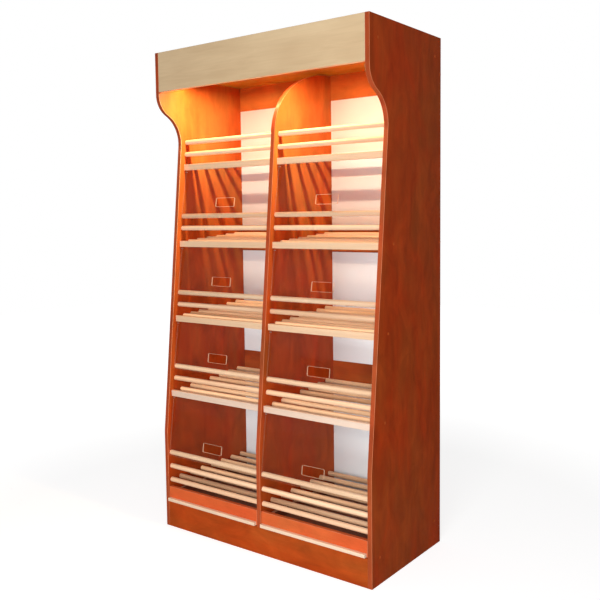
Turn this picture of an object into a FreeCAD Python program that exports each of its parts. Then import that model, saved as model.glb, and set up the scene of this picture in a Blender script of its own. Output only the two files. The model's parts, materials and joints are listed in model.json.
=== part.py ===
"""Bakery bread rack: a free-standing shelf unit with two columns of sloping rod shelves behind clear
lift-up flaps, an open display shelf under a lit canopy, and a row of crumb drawers above the plinth.

Millimetres. X runs along the width, Y from front to rear, Z up. While a piece is being made, y is
measured from the front plane of the side panels; save() then moves it so that the origin is at the
middle of the base of the whole unit.
"""
import FreeCAD, Part
import math
import os
from FreeCAD import Vector

# ---- overall -------------------------------------------------------------------------------------
WIDTH = 1040.0              # over both side panels
DEPTH = 520.0               # side panels, front to rear
HEIGHT = 2000.0             # side panels
BOARD = 18.0                # laminated chipboard

# ---- front outline of the side panels ------------------------------------------------------------
KNEE_Z = 413.0              # the front is upright below this height and leans back above it
LEAN_DEG = 5.7              # lean of the front edge from upright
NOSE_DROP = 170.0           # the canopy front is upright from here to the top
NOSE_R = 90.0               # rounded underside of the canopy
HOLLOW_R = 122.0            # hollow between the leaning edge and the canopy
BAND = 2.0                  # edge band glued to the visible edges
BAND_ROUND = 1.2            # rounding along both arrises of the band

# ---- partition -----------------------------------------------------------------------------------
ARCH_DROP = 360.0           # the partition's front starts to curve back here, below the top
ARCH_GAP = 2.0              # between that quarter ellipse's top and the ceiling board

# ---- boards --------------------------------------------------------------------------------------
PLINTH_H = 109.0            # front plinth board, with the bottom board behind its top edge
CEILING_DROP = 85.0         # underside of the ceiling board, below the top
FASCIA_H = 160.0            # canopy front board
RAIL_T = 12.0               # rear rails
RAIL_TOP_H = 105.0          # upper rear rail, hung under the ceiling board's rear edge
RAIL_SECOND_DROP = 43.0     # second rear rail, lower edge below the middle of front bar b
RAIL_MID_RISE = 26.5        # third rear rail, lower edge above the lowest front bar's middle
RAIL_MID_H = 94.0           # second and third rear rail
SHEET_T = 3.0               # white back sheets
SHEET_INSET = 10.0          # front face of the sheets, in front of the panels' rear edges
GROOVE_DEPTH = 6.0          # grooves that hold the sheets
GROOVE_PLAY = 0.1           # play on each side of a sheet in its groove

# ---- rods and bars -------------------------------------------------------------------------------
ROD_D = 20.0                # beech rods
ROD_HOLE_DEPTH = 8.0        # blind holes for the rods in panels and partition
ROD_PLAY = 0.05             # radial play of a rod in its hole
END_PLAY = 0.2              # play at the bottom of a blind hole
BAR_H = 25.0                # flat front bar of each sloping shelf
BAR_T = 18.0
BAR_ROUND = 1.5
BAR_PIN_D = 8.0             # dowel pin at each end of a bar
BAR_PIN_L = 26.0

BAR_DROP = 462.5            # middle of the upper shelf's front bar, below the top
STEP = {"b": 327.0, "c": 318.5, "d": 318.5, "e": 374.0}        # each shelf below the one above
BAR_SETBACK = {"a": 24.0, "b": 20.0, "c": 17.5, "d": 14.0}     # bar's face behind the panel's edge
FENCE_RISE = {"a": 56.0, "b": 67.5, "c": 60.0, "d": 63.0}      # lower fence rod above the bar
FENCE_PITCH = 51.0          # between the two fence rods of a sloping shelf
FENCE_SETBACK = 33.5        # fence rods' middles behind the panel's edge
SHELF_SLOPE_DEG = 4.8       # the sloping shelves rise to the rear
ROD_PROUD = 1.0             # shelf plane above the top of the front bar
ROD_PITCH = 61.5            # along the depth, from the rear rod forward
ROD_GAP_MIN = 30.0          # the row stops this far behind the front rods
REAR_INSET = {"a": 72.0, "b": 61.0, "c": 61.0, "d": 61.0}      # rear rod, from the panels' rear edge
FRONT_RODS = {"a": (28.8,), "b": (57.4,), "c": (51.7, 95.7), "d": (62.0,)}    # behind the bar's face

LEVEL_Z = 199.5             # rods of the level bottom shelf, shelf e
LEVEL_REAR_INSET = 50.0
LEVEL_PITCH = 66.3
LEVEL_FENCE_Y = 20.0        # front rods of the bottom shelf, one above the other
LEVEL_FENCE_PITCH = 59.3
LEVEL_FENCE_COUNT = 3       # the lowest one is level with the shelf

# ---- clear flaps ---------------------------------------------------------------------------------
FLAP_T = 5.0
FLAP_SIDE_GAP = 2.0         # between a flap and the board beside it
PIVOT_DROP = 8.0            # pivot below the underside of the bar
FLAP_TOP = 5.5              # flap's top edge above the pivot
FLAP_REST_GAP = 0.3         # flap's rear face in front of the fence rod that stops it
FLAP_LAP = 12.0             # flap's lower edge below the middle of that rod
FLAP_CORNER = 8.0
PIVOT_PIN_D = 3.0           # steel pivot pins
PIVOT_PIN_SEAT = 7.5        # length of pin in the board
PIVOT_PIN_REACH = 9.0       # length of pin in the flap
PIVOT_PLAY = 0.05           # radial play of the flap on its pins
HOLE_W = 100.0              # hand hole
HOLE_H = 36.0
HOLE_CORNER = 4.0
HOLE_RISE = 53.0            # middle of the hand hole above the middle of the fence rod

# ---- crumb drawers -------------------------------------------------------------------------------
DRAWER_BASE_GAP = 3.0       # drawer front above the bottom board
DRAWER_FRONT_H = 61.0
DRAWER_FRONT_RECESS = 2.0
DRAWER_SIDE_GAP = 2.0
DRAWER_WALL_T = 12.0
DRAWER_WALL_H = 40.0
DRAWER_WALL_LIFT = 4.0      # underside of the drawer walls above that of the front
DRAWER_REAR_GAP = 40.0      # between the drawer box and the back sheet
DRAWER_SHEET_T = 3.0
DRAWER_SHEET_LIFT = 5.0     # bottom sheet above the underside of the walls
PULL_H = 13.0               # wooden pull strip along the drawer front
PULL_PROUD = 15.0           # its depth in front of the drawer front
PULL_LIFT = 1.0             # above the lower edge of the drawer front
PULL_END_GAP = 4.0          # shorter than the drawer front at each end
PULL_ROUND = 2.5
SLIDE_GAP = 12.7            # width of a drawer slide, between drawer wall and board
SLIDE_H = 28.0
SLIDE_T = 1.2
SLIDE_LIP = 4.5
SLIDE_PLAY = 0.4
SLIDE_FRONT = 25.0          # front end of the slides
SLIDE_REAR_INSET = 15.0     # rear end of the slides, in front of the drawer box's rear

# ---- canopy lamp ---------------------------------------------------------------------------------
LAMP_Y = 125.0              # middle of the lamp behind the front plane
LAMP_SIDE_GAP = 16.0        # between its end caps and the side panels
LAMP_BASE_W = 30.0
LAMP_BASE_H = 12.0
LAMP_WALL = 1.5
LAMP_CLIP_T = 1.0
LAMP_CLIP_W = 16.0
LAMP_CLIP_INSET = 150.0     # clips, from the ends of the diffuser
LED_BOARD_W = 16.0
LED_BOARD_T = 1.6
DIFFUSER_R = 13.0
DIFFUSER_WALL = 1.2
LAMP_END_T = 6.0
GROMMET_D = 30.0            # cable grommet in the ceiling board
GROMMET_BORE_D = 18.0
GROMMET_FLANGE_W = 4.0
GROMMET_FLANGE_T = 2.0
GROMMET_SIDE = 62.0         # its middle, from the right side panel
GROMMET_REAR = 60.0         # from the panels' rear edge

# ---- screws through the side panels --------------------------------------------------------------
SCREW_D = 5.0
SCREW_L = 40.0              # from the bottom of the head
SCREW_HEAD_D = 9.0
SCREW_HEAD_H = 4.0
SCREW_FRONT = 55.0          # screws into ceiling and bottom board, behind the front plane
SCREW_REAR = 49.0           # and in front of the panels' rear edge
CAP_D = 11.0                # plastic cap over each screw head
CAP_T = 0.8

# ---- worked out from the sizes above -------------------------------------------------------------
HALF = WIDTH / 2
INNER = HALF - BOARD                      # inner face of the side panels
PARTING = BOARD / 2                       # faces of the partition
COLUMNS = {"left": (-INNER, -PARTING), "right": (PARTING, INNER)}
SHEET_Y = DEPTH - SHEET_INSET             # front face of the back sheets
RAIL_Y = DEPTH - RAIL_T
NOSE_Z = HEIGHT - NOSE_DROP
CEILING_Z = HEIGHT - CEILING_DROP
CEILING_TOP = CEILING_Z + BOARD
ARCH_Z = HEIGHT - ARCH_DROP
ARCH_RISE = CEILING_Z - ARCH_GAP - ARCH_Z

LEVELS = ("a", "b", "c", "d", "e")        # shelves from the top down
SLOPING = LEVELS[:-1]
FLAP_LEVELS = LEVELS[1:]                  # shelves with a flap in front
SPARE = (HEIGHT - BAR_DROP - LEVEL_Z - sum(STEP.values())) / len(STEP)    # each step's share
BAR_Z = {"a": HEIGHT - BAR_DROP}          # middle of each front bar
for upper, lower in zip(SLOPING, SLOPING[1:]):
    BAR_Z[lower] = BAR_Z[upper] - STEP[lower] - SPARE

RAIL_TOP = (CEILING_Z - RAIL_TOP_H, CEILING_Z)            # heights of the rear rails
RAIL_SECOND_Z = BAR_Z["b"] - RAIL_SECOND_DROP
RAIL_SECOND = (RAIL_SECOND_Z, RAIL_SECOND_Z + RAIL_MID_H)
RAIL_MID_Z = BAR_Z["d"] + RAIL_MID_RISE
RAIL_MIDDLE = (RAIL_MID_Z, RAIL_MID_Z + RAIL_MID_H)
RAILS = (RAIL_TOP, RAIL_SECOND, RAIL_MIDDLE)
SHEET_UPPER = (RAIL_SECOND[1], RAIL_TOP[0])               # heights between which each sheet shows
SHEET_MIDDLE = (RAIL_MIDDLE[1], RAIL_SECOND[0])
SHEET_LOWER = (PLINTH_H, RAIL_MIDDLE[0])
SHEETS = (SHEET_UPPER, SHEET_MIDDLE, SHEET_LOWER)
BOTTOM_Z = PLINTH_H - BOARD
LEAN = math.tan(math.radians(LEAN_DEG))
SLOPE = math.tan(math.radians(SHELF_SLOPE_DEG))
ROD_R = ROD_D / 2
DRAWER_Z = PLINTH_H + DRAWER_BASE_GAP
DRAWER_BACK_OF_FRONT = DRAWER_FRONT_RECESS + BOARD
DRAWER_BOX_Y = (DRAWER_BACK_OF_FRONT, SHEET_Y - DRAWER_REAR_GAP)
SLIDE_Y = (SLIDE_FRONT, DRAWER_BOX_Y[1] - SLIDE_REAR_INSET)
PULL_Y = DRAWER_FRONT_RECESS - PULL_PROUD
LAMP_HALF = INNER - LAMP_SIDE_GAP - LAMP_END_T            # half of the lamp between its end caps
GROMMET_PLACE = (INNER - GROMMET_SIDE, DEPTH - GROMMET_REAR)
FRONT = -(DEPTH + PULL_Y) / 2             # moves the middle of the whole depth to y = 0
XDIR = Vector(1, 0, 0)
TOUCH = 1e-6                              # two values closer than this are the same


def save(name, *solids):
    """Write one node, a single solid or a group of separate ones, in the unit's own frame."""
    shape = solids[0].copy() if len(solids) == 1 else Part.makeCompound(list(solids))
    shape.translate(Vector(0, FRONT, 0))
    shape.exportStep(os.path.join("parts", name + ".step"))
    box = shape.BoundBox
    print("%-24s %2d solid(s)  %7.1f x %6.1f x %7.1f" % (
        name, len(shape.Solids), box.XLength, box.YLength, box.ZLength))


def block(x, y, z):
    """A box between two values on each axis."""
    size = [max(pair) - min(pair) for pair in (x, y, z)]
    return Part.makeBox(size[0], size[1], size[2], Vector(min(x), min(y), min(z)))


def bar_x(x, y, z, radius):
    """A round bar along X between the two values of x."""
    return Part.makeCylinder(radius, abs(x[1] - x[0]), Vector(min(x), y, z), XDIR)


def rounded(shape, radius, chosen):
    """Round the edges for which chosen(edge) is true."""
    return shape.makeFillet(radius, [edge for edge in shape.Edges if chosen(edge)])


def along(edge, axis):
    """True for a straight edge along one axis (0, 1 or 2)."""
    start, end = edge.Vertexes[0].Point, edge.Vertexes[-1].Point
    gap = [abs(end[i] - start[i]) for i in range(3)]
    return gap[axis] > TOUCH and all(gap[i] < TOUCH for i in range(3) if i != axis)


def yz(y, z):
    return Vector(0, y, z)


def line(start, end):
    return Part.LineSegment(start, end).toShape()


def arc(start, middle, end):
    return Part.Arc(start, middle, end).toShape()


def board_from(edges, x):
    """A board whose outline lies in the YZ plane, between two values of x."""
    face = Part.Face(Part.Wire(Part.__sortEdges__(edges)))
    face.translate(Vector(min(x), 0, 0))
    return face.extrude(Vector(abs(x[1] - x[0]), 0, 0))


# ---- front outline -------------------------------------------------------------------------------
def front_y(z):
    """Panel's front edge at height z, below the hollow."""
    return max(0.0, (z - KNEE_Z) * LEAN)


def hollow_centre():
    """Middle of the hollow's arc: HOLLOW_R off the leaning edge and tangent to the canopy's arc."""
    lean = math.radians(LEAN_DEG)
    across = (math.cos(lean), -math.sin(lean))          # from the air into the board
    upward = (math.sin(lean), math.cos(lean))
    start = (-HOLLOW_R * across[0], KNEE_Z - HOLLOW_R * across[1])
    to_nose = (NOSE_R - start[0], NOSE_Z - start[1])
    run = to_nose[0] * upward[0] + to_nose[1] * upward[1]
    off = to_nose[0] * across[0] + to_nose[1] * across[1]
    reach = math.sqrt((NOSE_R + HOLLOW_R) ** 2 - off ** 2)
    step = run - reach
    return start[0] + step * upward[0], start[1] + step * upward[1], across


def knee(inset):
    """Where the upright front and the leaning edge meet, both moved inset into the board."""
    lean = math.radians(LEAN_DEG)
    return yz(inset, KNEE_Z + inset * (1 - 1 / math.cos(lean)) / math.tan(lean))


def panel_front(inset):
    """Front edges of a side panel from the floor to the top, moved inset into the board."""
    cy, cz, across = hollow_centre()
    hollow, nose = HOLLOW_R + inset, NOSE_R - inset
    leave = yz(cy + hollow * across[0], cz + hollow * across[1])
    to_nose = Vector(0, NOSE_R - cy, NOSE_Z - cz).normalize()
    meet = yz(cy, cz) + to_nose * hollow
    bisector = (Vector(0, *across) + to_nose).normalize()
    half_turn = math.atan2(to_nose.z, to_nose.y) / 2     # of the canopy's arc, from its front end
    nose_middle = yz(NOSE_R - nose * math.cos(half_turn), NOSE_Z - nose * math.sin(half_turn))
    return [
        line(yz(inset, 0), knee(inset)),
        line(knee(inset), leave),
        arc(leave, yz(cy, cz) + bisector * hollow, meet),
        arc(meet, nose_middle, yz(inset, NOSE_Z)),
        line(yz(inset, NOSE_Z), yz(inset, HEIGHT)),
    ]


def partition_front(inset):
    """Front and top edges of the partition, moved inset into the board."""
    foot = yz(inset, PLINTH_H)
    shoulder = yz(front_y(ARCH_Z) + inset, ARCH_Z)
    reach = SHEET_Y - shoulder.y
    rise = ARCH_RISE - inset
    middle = yz(SHEET_Y, ARCH_Z)
    top = yz(SHEET_Y, ARCH_Z + rise)
    if rise > reach:
        ellipse = Part.Ellipse(top, shoulder, middle)
    else:
        ellipse = Part.Ellipse(shoulder, top, middle)
    first, last = sorted((ellipse.parameter(shoulder), ellipse.parameter(top)))
    if last - first > math.pi:
        first, last = last, first + 2 * math.pi
    return [line(foot, knee(inset)), line(knee(inset), shoulder), ellipse.toShape(first, last)]


def on_outline(edge, outline):
    """True for an edge that lies in one YZ plane and follows the outline."""
    box = edge.BoundBox
    if box.XLength > TOUCH:
        return False
    middle = edge.valueAt((edge.FirstParameter + edge.LastParameter) / 2)
    probe = Part.Vertex(yz(middle.y, middle.z))
    return min(probe.distToShape(part)[0] for part in outline) < BAND / 4


def lowest(edge):
    return min((vertex.Point for vertex in edge.Vertexes), key=lambda point: point.z)


def highest(edge):
    return max((vertex.Point for vertex in edge.Vertexes), key=lambda point: point.z)


def edge_band(outer, inner, x):
    """The band between two outlines, with both of its front arrises rounded."""
    foot = line(lowest(outer[0]), lowest(inner[0]))
    top = line(highest(outer[-1]), highest(inner[-1]))
    band = board_from(outer + inner + [foot, top], x)
    return rounded(band, BAND_ROUND, lambda edge: on_outline(edge, outer))


# ---- rows of rods --------------------------------------------------------------------------------
def bar_y(level):
    """Front face of a shelf's front bar."""
    return front_y(BAR_Z[level]) + BAR_SETBACK[level]


def fence_rods(level):
    """(y, z) of the rods that stand in a fence above a shelf's front, from the top down."""
    if level == "e":
        heights = [LEVEL_Z + i * LEVEL_FENCE_PITCH for i in range(LEVEL_FENCE_COUNT)]
        return [(LEVEL_FENCE_Y, z) for z in reversed(heights)]
    low = BAR_Z[level] + FENCE_RISE[level]
    arch_front = front_y(ARCH_Z)
    return [(min(front_y(z), arch_front) + FENCE_SETBACK, z) for z in (low + FENCE_PITCH, low)]


def row(rear, pitch, stop):
    """Values from the rear one forward, for as long as they stay behind stop."""
    values = []
    while rear > stop:
        values.append(rear)
        rear -= pitch
    return values


def shelf_rods(level):
    """(y, z) of the rods that make a shelf's floor, from the rear forward."""
    if level == "e":
        rear = DEPTH - LEVEL_REAR_INSET
        return [(y, LEVEL_Z) for y in row(rear, LEVEL_PITCH, LEVEL_FENCE_Y + ROD_GAP_MIN)]
    rear = DEPTH - REAR_INSET[level]
    front = [bar_y(level) + offset for offset in reversed(FRONT_RODS[level])]
    depths = row(rear, ROD_PITCH, front[0] + ROD_GAP_MIN) + front
    plane_y = bar_y(level) + BAR_T / 2
    plane_z = BAR_Z[level] + BAR_H / 2 + ROD_PROUD
    return [(y, plane_z + (y - plane_y) * SLOPE - ROD_R) for y in depths]


ALL_RODS = [place for level in LEVELS for place in fence_rods(level) + shelf_rods(level)]
TIE_RODS = [shelf_rods(level)[-1] for level in ("b", "c", "d")]      # screwed from outside


# ---- flaps ---------------------------------------------------------------------------------------
def flap_layout(level):
    """Pivot, lean and length of the flap that closes the compartment above a shelf."""
    above = SLOPING[LEVELS.index(level) - 1]
    pivot = (bar_y(above) + BAR_T / 2, BAR_Z[above] - BAR_H / 2 - PIVOT_DROP)
    rod = fence_rods(level)[0]
    dy, dz = pivot[0] - rod[0], pivot[1] - rod[1]
    reach = math.hypot(dy, dz)
    offset = ROD_R + FLAP_REST_GAP + FLAP_T / 2
    lean = math.atan2(dy, dz) + math.asin(offset / reach)
    touch = math.sqrt(reach ** 2 - offset ** 2)
    return pivot, math.degrees(lean), touch


PIVOTS = [flap_layout(level)[0] for level in FLAP_LEVELS]


def flap(level, column):
    """A clear sheet with a hand hole, bored at its upper corners for the pivot pins."""
    pivot, lean, touch = flap_layout(level)
    x0, x1 = COLUMNS[column]
    x0, x1 = x0 + FLAP_SIDE_GAP, x1 - FLAP_SIDE_GAP
    middle = (x0 + x1) / 2
    thick = (-FLAP_T / 2, FLAP_T / 2)
    sheet = block((x0, x1), thick, (-touch - FLAP_LAP, FLAP_TOP))
    low = -touch - FLAP_LAP / 2
    sheet = rounded(sheet, FLAP_CORNER, lambda e: along(e, 1) and e.BoundBox.ZMax < low)
    hole_z = HOLE_RISE - touch
    hole = block((middle - HOLE_W / 2, middle + HOLE_W / 2), thick,
                 (hole_z - HOLE_H / 2, hole_z + HOLE_H / 2))
    hole = rounded(hole, HOLE_CORNER, lambda e: along(e, 1))
    bore_l = PIVOT_PIN_REACH + END_PLAY - FLAP_SIDE_GAP
    bore_r = PIVOT_PIN_D / 2 + PIVOT_PLAY
    bores = [bar_x((x0, x0 + bore_l), 0, 0, bore_r), bar_x((x1 - bore_l, x1), 0, 0, bore_r)]
    sheet = sheet.cut([hole] + bores)
    sheet.rotate(Vector(0, 0, 0), XDIR, -lean)
    sheet.translate(yz(*pivot))
    return sheet


def pivot_pins():
    """Steel pins seated in the boards beside every flap."""
    pins = []
    for y, z in PIVOTS:
        for x0, x1 in COLUMNS.values():
            pins.append(bar_x((x0 - PIVOT_PIN_SEAT, x0 + PIVOT_PIN_REACH), y, z, PIVOT_PIN_D / 2))
            pins.append(bar_x((x1 - PIVOT_PIN_REACH, x1 + PIVOT_PIN_SEAT), y, z, PIVOT_PIN_D / 2))
    return pins


# ---- holes in the upright boards -----------------------------------------------------------------
def wall_holes(face, into):
    """Blind holes in an upright board: face is the x of its surface, into is the way they go."""
    deep = face + into * ROD_HOLE_DEPTH
    holes = [bar_x((face, deep), y, z, ROD_R + ROD_PLAY) for y, z in ALL_RODS]
    for level in SLOPING:
        holes.append(bar_x((face, deep), bar_y(level) + BAR_T / 2, BAR_Z[level], BAR_PIN_D / 2))
    for y, z in PIVOTS:
        holes.append(bar_x((face, face + into * PIVOT_PIN_SEAT), y, z, PIVOT_PIN_D / 2))
    return holes


def panel_screw_places():
    """(y, z) of the screws that go through each side panel."""
    rear = DEPTH - SCREW_REAR
    ceiling, bottom = CEILING_Z + BOARD / 2, BOTTOM_Z + BOARD / 2
    rail_y = RAIL_Y + RAIL_T / 2
    boards = [(SCREW_FRONT, ceiling), (rear, ceiling), (SCREW_FRONT, bottom), (rear, bottom)]
    return boards + [(rail_y, sum(z) / 2) for z in RAILS] + TIE_RODS


def screw(side, y, z):
    """A countersunk screw in a side panel; side is -1 on the left and 1 on the right."""
    outer = side * HALF
    seat = outer - side * SCREW_HEAD_H
    head = bar_x((outer, seat), y, z, SCREW_HEAD_D / 2)
    shank = bar_x((seat, seat - side * SCREW_L), y, z, SCREW_D / 2)
    return head.fuse(shank).removeSplitter()


SCREWS = [screw(side, y, z) for side in (-1, 1) for y, z in panel_screw_places()]


def screwed(board):
    """The board with the holes of the screws that reach it."""
    return board.cut([s for s in SCREWS if s.BoundBox.intersect(board.BoundBox)])


# ---- frame boards --------------------------------------------------------------------------------
def back_grooves(z):
    """The space of the grooves round a back sheet that shows between two heights."""
    x = INNER + GROOVE_DEPTH
    return block((-x, x), (SHEET_Y - GROOVE_PLAY, SHEET_Y + SHEET_T + GROOVE_PLAY),
                 (z[0] - GROOVE_DEPTH, z[1] + GROOVE_DEPTH))


def side_panel(side):
    front = panel_front(BAND)
    rear = [line(yz(BAND, HEIGHT), yz(DEPTH, HEIGHT)), line(yz(DEPTH, HEIGHT), yz(DEPTH, 0)),
            line(yz(DEPTH, 0), yz(BAND, 0))]
    panel = board_from(front + rear, (side * INNER, side * HALF))
    grooves = [back_grooves(z) for z in SHEETS]
    return screwed(panel.cut(wall_holes(side * INNER, side) + grooves))


def rear_rails():
    """The rear rails as plain boards, the upper one first."""
    return [block((-INNER, INNER), (RAIL_Y, DEPTH), z) for z in RAILS]


def partition():
    front = partition_front(BAND)
    top = highest(front[-1])
    foot = yz(SHEET_Y, PLINTH_H)
    board = board_from(front + [line(top, foot), line(foot, lowest(front[0]))], (-PARTING, PARTING))
    return board.cut(wall_holes(-PARTING, 1) + wall_holes(PARTING, -1) + rear_rails())


def uprights():
    """Side panels and partition, with the bands on their front edges."""
    for name, side in (("left", -1), ("right", 1)):
        save("side_panel_" + name, side_panel(side))
        band = edge_band(panel_front(0), panel_front(BAND), (side * INNER, side * HALF))
        save("edge_band_" + name, band)
    save("partition", partition())
    band = edge_band(partition_front(0), partition_front(BAND), (-PARTING, PARTING))
    save("edge_band_partition", band.cut(rear_rails()))


def back():
    """Rear rails, and the sheets that stand in the grooves between them."""
    grooves = [back_grooves(z) for z in SHEETS]
    top, *others = [screwed(rail.cut(grooves)) for rail in rear_rails()]
    save("rear_rail_top", top)
    save("rear_rail_middle", *others)
    lap = GROOVE_DEPTH - END_PLAY
    across, thick = (-INNER - lap, INNER + lap), (SHEET_Y, SHEET_Y + SHEET_T)
    *upper, lower = [block(across, thick, (z[0] - lap, z[1] + lap)) for z in SHEETS]
    save("back_sheet_upper", *upper)
    save("back_sheet_lower", lower)


def cross_boards():
    """Boards that join the side panels at the canopy and at the base."""
    across = (-INNER, INNER)
    ceiling = block(across, (BOARD, DEPTH), (CEILING_Z, CEILING_TOP))
    hole = Part.makeCylinder(GROMMET_D / 2, BOARD, Vector(*GROMMET_PLACE, CEILING_Z))
    save("ceiling_board", screwed(ceiling.cut(hole)))
    save("fascia_board", block(across, (0, BOARD), (HEIGHT - FASCIA_H, HEIGHT)))
    bottom = block(across, (BOARD, DEPTH), (BOTTOM_Z, PLINTH_H))
    save("bottom_board", screwed(bottom.cut(back_grooves(SHEET_LOWER))))
    save("plinth_front", block(across, (0, BOARD), (0, PLINTH_H)))
    save("plinth_rear", block(across, (DEPTH - BOARD, DEPTH), (0, BOTTOM_Z)))


# ---- shelves -------------------------------------------------------------------------------------
def rods_between(places, screw_holes):
    """Rods at each place in both columns, seated in their blind holes."""
    seat = ROD_HOLE_DEPTH - END_PLAY
    rods = []
    for y, z in places:
        for x0, x1 in COLUMNS.values():
            rod = bar_x((x0 - seat, x1 + seat), y, z, ROD_R)
            rods.append(screwed(rod) if screw_holes and (y, z) in TIE_RODS else rod)
    return rods


def shelf_bars(level):
    """The flat front bar of a sloping shelf in both columns, bored for its dowel pins."""
    y, z = bar_y(level), BAR_Z[level]
    bore = BAR_PIN_L - ROD_HOLE_DEPTH + END_PLAY
    bars = []
    for x0, x1 in COLUMNS.values():
        bar = block((x0, x1), (y, y + BAR_T), (z - BAR_H / 2, z + BAR_H / 2))
        bar = rounded(bar, BAR_ROUND, lambda e: along(e, 0))
        ends = [(x0, x0 + bore), (x1 - bore, x1)]
        bars.append(bar.cut([bar_x(end, y + BAR_T / 2, z, BAR_PIN_D / 2) for end in ends]))
    return bars


def bar_pins():
    """Dowel pins that hold the front bars in the boards."""
    outside = ROD_HOLE_DEPTH - END_PLAY
    inside = BAR_PIN_L - ROD_HOLE_DEPTH
    pins = []
    for level in SLOPING:
        y, z = bar_y(level) + BAR_T / 2, BAR_Z[level]
        for x0, x1 in COLUMNS.values():
            pins.append(bar_x((x0 - outside, x0 + inside), y, z, BAR_PIN_D / 2))
            pins.append(bar_x((x1 - inside, x1 + outside), y, z, BAR_PIN_D / 2))
    return pins


def shelves():
    for level in LEVELS:
        save("shelf_rods_" + level, *rods_between(shelf_rods(level), True))
        save("fence_rods_" + level, *rods_between(fence_rods(level), False))
    for level in SLOPING:
        save("shelf_bar_" + level, *shelf_bars(level))
    save("shelf_bar_pins", *bar_pins())


def flaps():
    for level in FLAP_LEVELS:
        for column in COLUMNS:
            save("flap_%s_%s" % (level, column), flap(level, column))
    save("flap_pivot_pins", *pivot_pins())


# ---- drawers -------------------------------------------------------------------------------------
def slide_section(face, into, y, z):
    """Fixed slide: a channel on a board, open towards the drawer, with lips that hold the runner."""
    depth = SLIDE_GAP - SLIDE_T
    back = face + into * SLIDE_T
    half = SLIDE_H / 2
    lip = face + into * (depth - SLIDE_T)
    edge = face + into * depth
    channel = block((face, edge), y, (z - half, z + half))
    hollow = block((back, lip), y, (z - half + SLIDE_T, z + half - SLIDE_T))
    slot = block((back, edge), y, (z - half + SLIDE_LIP, z + half - SLIDE_LIP))
    return channel.cut([hollow, slot])


def runner_section(face, into, y, z):
    """Runner on a drawer wall: a head inside the channel and a neck out to the wall."""
    half = SLIDE_H / 2
    head_x = (face + into * (SLIDE_T + SLIDE_PLAY),
              face + into * (SLIDE_GAP - 2 * SLIDE_T - SLIDE_PLAY))
    head_z = half - SLIDE_T - SLIDE_PLAY
    neck_z = half - SLIDE_LIP - SLIDE_PLAY
    head = block(head_x, y, (z - head_z, z + head_z))
    neck = block((head_x[1], face + into * SLIDE_GAP), y, (z - neck_z, z + neck_z))
    return head.fuse(neck).removeSplitter()


def drawer(column):
    x0, x1 = COLUMNS[column]
    wall_z = (DRAWER_Z + DRAWER_WALL_LIFT, DRAWER_Z + DRAWER_WALL_LIFT + DRAWER_WALL_H)
    out0, out1 = x0 + SLIDE_GAP, x1 - SLIDE_GAP
    in0, in1 = out0 + DRAWER_WALL_T, out1 - DRAWER_WALL_T
    sheet_z = wall_z[0] + DRAWER_SHEET_LIFT
    lap = DRAWER_WALL_T / 2
    box_front, box_rear = DRAWER_BOX_Y
    sheet = block((in0 - lap, in1 + lap), (box_front, box_rear - DRAWER_WALL_T + lap),
                  (sheet_z, sheet_z + DRAWER_SHEET_T))
    front = block((x0 + DRAWER_SIDE_GAP, x1 - DRAWER_SIDE_GAP),
                  (DRAWER_FRONT_RECESS, DRAWER_BACK_OF_FRONT), (DRAWER_Z, DRAWER_Z + DRAWER_FRONT_H))
    walls = [block(x, DRAWER_BOX_Y, wall_z).cut(sheet) for x in ((out0, in0), (in1, out1))]
    back = block((in0, in1), (box_rear - DRAWER_WALL_T, box_rear), wall_z).cut(sheet)
    pull = block((x0 + DRAWER_SIDE_GAP + PULL_END_GAP, x1 - DRAWER_SIDE_GAP - PULL_END_GAP),
                 (PULL_Y, DRAWER_FRONT_RECESS), (DRAWER_Z + PULL_LIFT, DRAWER_Z + PULL_LIFT + PULL_H))
    pull = rounded(pull, PULL_ROUND, lambda e: e.BoundBox.YMax < PULL_Y + TOUCH)
    slide_z = (wall_z[0] + wall_z[1]) / 2
    save("drawer_front_" + column, front)
    save("drawer_pull_" + column, pull)
    save("drawer_walls_" + column, *walls)
    save("drawer_back_" + column, back)
    save("drawer_bottom_" + column, sheet)
    save("drawer_runners_" + column,
         runner_section(x0, 1, SLIDE_Y, slide_z), runner_section(x1, -1, SLIDE_Y, slide_z))
    return [slide_section(x0, 1, SLIDE_Y, slide_z), slide_section(x1, -1, SLIDE_Y, slide_z)]


def drawers():
    slides = [piece for column in COLUMNS for piece in drawer(column)]
    save("drawer_slides", *slides)


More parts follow.
